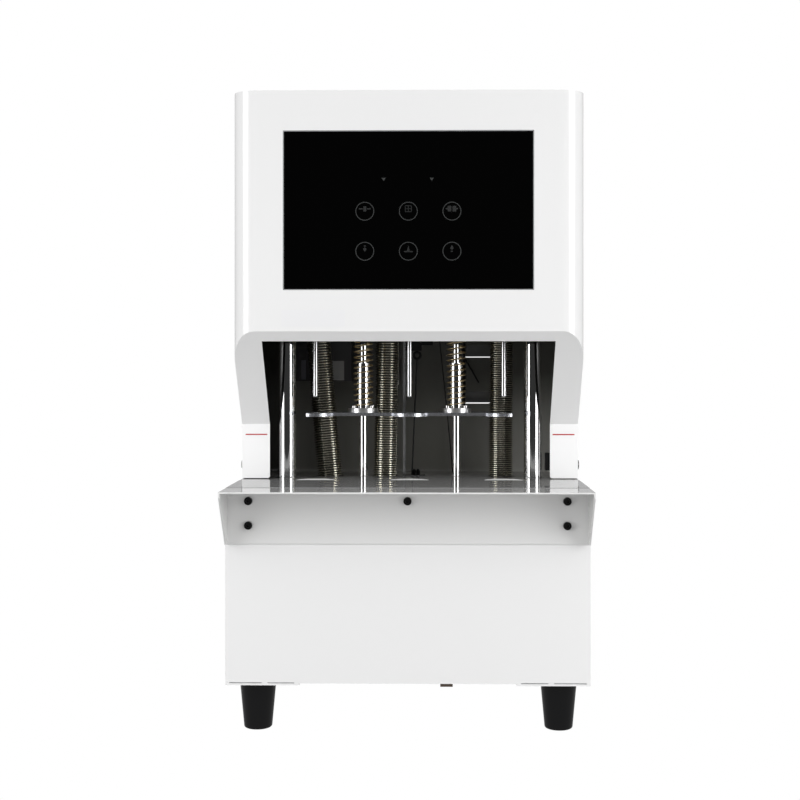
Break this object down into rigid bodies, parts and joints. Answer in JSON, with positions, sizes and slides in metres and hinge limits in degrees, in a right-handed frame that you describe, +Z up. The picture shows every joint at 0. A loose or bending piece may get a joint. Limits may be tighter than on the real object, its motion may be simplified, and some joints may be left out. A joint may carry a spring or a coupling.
{
  "type": "three-hole paper drilling machine",
  "caption": "Desk machine that drills a line of holes through a stack of sheets: white base with a shelf and rubber feet, glossy white table, sprung press plate, head with a black touch panel.",
  "frame": {"origin": "on the floor under the middle of the machine's plan rectangle", "axes": "+X to the right seen from the front, +Y from the front shelf to the back, +Z up"},
  "size_m": [0.3842, 0.322, 0.6785],
  "materials": {
    "white_paint": "satin powder coat",
    "table_paint": "gloss coat",
    "deck_paint": "gloss coat",
    "zinc_sheet": "plain zinc plate",
    "grey_paint": "satin paint",
    "black_rubber": "matte",
    "polished_steel": "polished",
    "satin_steel": "ground",
    "plated_fasteners": "bright plated",
    "black_fasteners": "black oxide",
    "aluminium": "milled",
    "motor_black": "satin",
    "brass": "machined",
    "spring_gold": "passivated wire",
    "panel_black": "glass-clear gloss",
    "pad_plastic": "machined",
    "hose_olive": "translucent",
    "black_plastic": "moulded",
    "brown_fibre": "fibre",
    "board_green": "varnished"
  },
  "bodies": {
    "frame": {"base_housing": "white_paint", "foot_plates": "white_paint", "base_bottom_plate": "zinc_sheet", "rubber_feet": "black_rubber", "foot_screws": "plated_fasteners", "bottom_plug": "brown_fibre", "base_deck": "deck_paint", "table_plate": "table_paint", "front_shelf": "white_paint", "shelf_screws": "black_fasteners", "columns": "polished_steel", "guide_rods": "polished_steel", "frame_fasteners": "plated_fasteners", "head_top_plate": "aluminium", "lift_motor": "motor_black", "hose_collars": "black_plastic", "chip_hose_left": "hose_olive", "chip_hose_centre": "hose_olive", "chip_hose_right": "hose_olive", "head_cover": "white_paint", "head_rear_cover": "white_paint", "throat_liner": "grey_paint", "cover_screws": "plated_fasteners", "touch_panel": "panel_black", "sensor_bracket": "satin_steel", "limit_switches": "black_plastic", "sensor_cable": "black_plastic", "wire_harness": "black_plastic", "cable_tie": "black_plastic", "supply_box": "motor_black", "drawer_rails": "zinc_sheet", "base_rear_panel": "white_paint", "power_inlet": "black_plastic", "control_board": "board_green"},
    "carriage": {"carriage_plate": "aluminium", "spindle_plate": "aluminium", "carriage_posts": "aluminium", "column_bearings": "satin_steel", "spindle_housings": "aluminium", "spindle_motor": "motor_black", "drive_belts": "black_rubber", "lift_nut": "brass", "chip_elbows": "black_plastic", "press_springs": "spring_gold"},
    "press": {"press_plate": "satin_steel", "press_bearings": "polished_steel", "press_screws": "plated_fasteners"},
    "motor_rotor": {"motor_pulley": "aluminium"},
    "screw": {"lift_screw": "polished_steel"},
    "drawer": {"chip_drawer": "zinc_sheet"},
    "rocker": {"power_rocker": "black_plastic"},
    "drill_spindle_left": {"spindle_left": "satin_steel", "drill_left": "satin_steel"},
    "pad_left": {"drill_pad_left": "pad_plastic"},
    "drill_spindle_centre": {"spindle_centre": "satin_steel", "drill_centre": "satin_steel"},
    "pad_centre": {"drill_pad_centre": "pad_plastic"},
    "drill_spindle_right": {"spindle_right": "satin_steel", "drill_right": "satin_steel"},
    "pad_right": {"drill_pad_right": "pad_plastic"}
  },
  "joints": [
    {"name": "carriage_slide", "type": "slide", "parent": "frame", "child": "carriage", "axis": [0, 0, 1], "range_m": [-0.0924, 0], "deforming": ["press_springs", "chip_hose_left", "chip_hose_centre", "chip_hose_right"]},
    {"name": "press_slide", "type": "slide", "parent": "frame", "child": "press", "axis": [0, 0, 1], "range_m": [-0.0703, 0]},
    {"name": "screw_turn", "type": "hinge", "parent": "frame", "child": "screw", "pos_m": [-0.0197, 0.088, 0.4565], "axis": [0, 0, 1], "range_deg": [0, 8320]},
    {"name": "motor_spin", "type": "hinge", "parent": "carriage", "child": "motor_rotor", "pos_m": [-0.0525, -0.04, 0.5365], "axis": [0, 0, 1], "continuous": true},
    {"name": "spindle_left_spin", "type": "hinge", "parent": "carriage", "child": "drill_spindle_left", "pos_m": [-0.105, -0.014, 0.4965], "axis": [0, 0, 1], "continuous": true},
    {"name": "spindle_centre_spin", "type": "hinge", "parent": "carriage", "child": "drill_spindle_centre", "pos_m": [0, -0.014, 0.4965], "axis": [0, 0, 1], "continuous": true},
    {"name": "spindle_right_spin", "type": "hinge", "parent": "carriage", "child": "drill_spindle_right", "pos_m": [0.105, -0.014, 0.4965], "axis": [0, 0, 1], "continuous": true},
    {"name": "pad_left_turn", "type": "hinge", "parent": "frame", "child": "pad_left", "pos_m": [-0.105, -0.014, 0.2565], "axis": [0, 0, 1], "continuous": true},
    {"name": "pad_centre_turn", "type": "hinge", "parent": "frame", "child": "pad_centre", "pos_m": [0, -0.014, 0.2565], "axis": [0, 0, 1], "continuous": true},
    {"name": "pad_right_turn", "type": "hinge", "parent": "frame", "child": "pad_right", "pos_m": [0.105, -0.014, 0.2565], "axis": [0, 0, 1], "continuous": true},
    {"name": "drawer_slide", "type": "slide", "parent": "frame", "child": "drawer", "axis": [0, 1, 0], "range_m": [0, 0.11]},
    {"name": "rocker_tilt", "type": "hinge", "parent": "frame", "child": "rocker", "pos_m": [0.13, 0.147, 0.1165], "axis": [1, 0, 0], "range_deg": [-24, 0]}
  ],
  "couplings": [
    {"joint": "press_slide", "follows": "carriage_slide", "ratio": 0.7608},
    {"joint": "screw_turn", "follows": "carriage_slide", "rad_per_m": -1570.8},
    {"joint": "spindle_left_spin", "follows": "motor_spin", "ratio": 1},
    {"joint": "spindle_centre_spin", "follows": "motor_spin", "ratio": 1},
    {"joint": "spindle_right_spin", "follows": "motor_spin", "ratio": 1}
  ]
}
